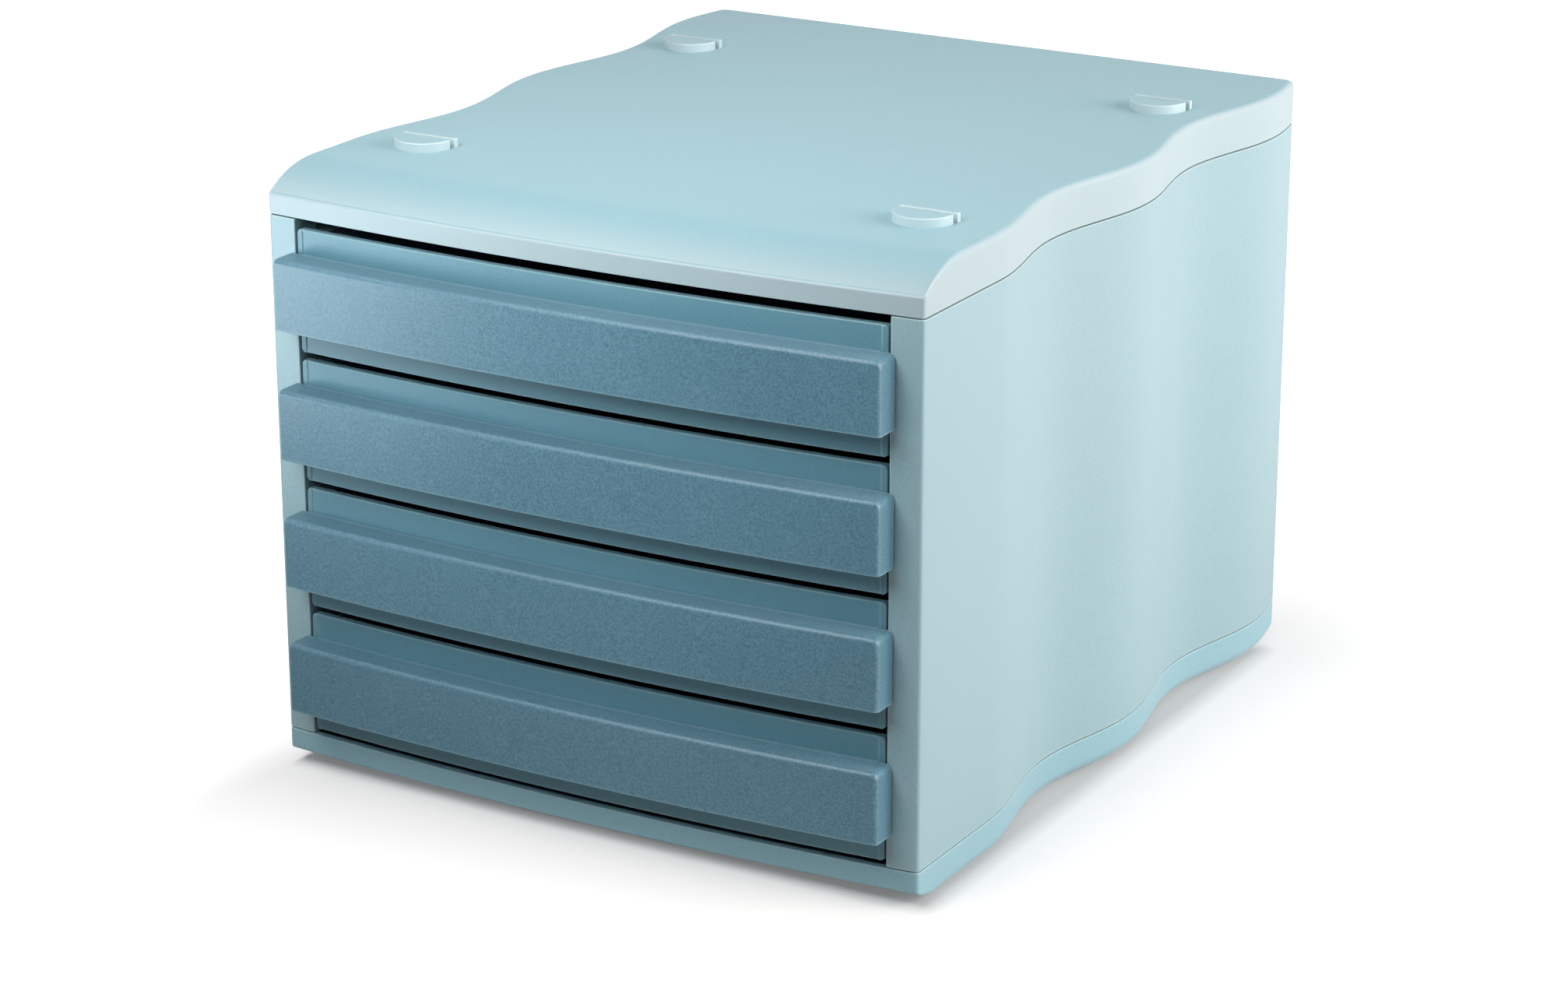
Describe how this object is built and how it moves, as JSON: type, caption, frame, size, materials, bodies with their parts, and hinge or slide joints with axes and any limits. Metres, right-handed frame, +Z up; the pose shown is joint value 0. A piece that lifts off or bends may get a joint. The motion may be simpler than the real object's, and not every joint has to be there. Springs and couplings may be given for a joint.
{
  "type": "desktop drawer cabinet",
  "caption": "Desktop cabinet with waved side walls, a curved top cover with stacking lugs, and sliding drawers with full-width bar handles.",
  "frame": {"origin": "middle of the footprint, handles included, on the surface that the feet stand on", "axes": "+X to the right as seen from the front, +Y from the drawer fronts to the back, +Z up"},
  "size_m": [0.288, 0.3542, 0.2516],
  "materials": {
    "case_plastic": "fine moulded texture, matte",
    "drawer_plastic": "fine moulded texture, matte",
    "handle_plastic": "coarse spark-eroded texture, matte",
    "rubber_foot": "matte"
  },
  "bodies": {
    "cabinet": {"top_cover": "case_plastic", "base": "case_plastic", "side_left": "case_plastic", "side_right": "case_plastic", "back_panel": "case_plastic", "foot_front_left": "rubber_foot", "foot_front_right": "rubber_foot", "foot_rear_left": "rubber_foot", "foot_rear_right": "rubber_foot"},
    "drawer_body_1": {"drawer_1": "drawer_plastic", "handle_1": "handle_plastic"},
    "drawer_body_2": {"drawer_2": "drawer_plastic", "handle_2": "handle_plastic"},
    "drawer_body_3": {"drawer_3": "drawer_plastic", "handle_3": "handle_plastic"},
    "drawer_body_4": {"drawer_4": "drawer_plastic", "handle_4": "handle_plastic"}
  },
  "joints": [
    {"name": "drawer_1_slide", "type": "slide", "parent": "cabinet", "child": "drawer_body_1", "axis": [0, -1, 0], "range_m": [0, 0.24]},
    {"name": "drawer_2_slide", "type": "slide", "parent": "cabinet", "child": "drawer_body_2", "axis": [0, -1, 0], "range_m": [0, 0.24]},
    {"name": "drawer_3_slide", "type": "slide", "parent": "cabinet", "child": "drawer_body_3", "axis": [0, -1, 0], "range_m": [0, 0.24]},
    {"name": "drawer_4_slide", "type": "slide", "parent": "cabinet", "child": "drawer_body_4", "axis": [0, -1, 0], "range_m": [0, 0.24]}
  ]
}
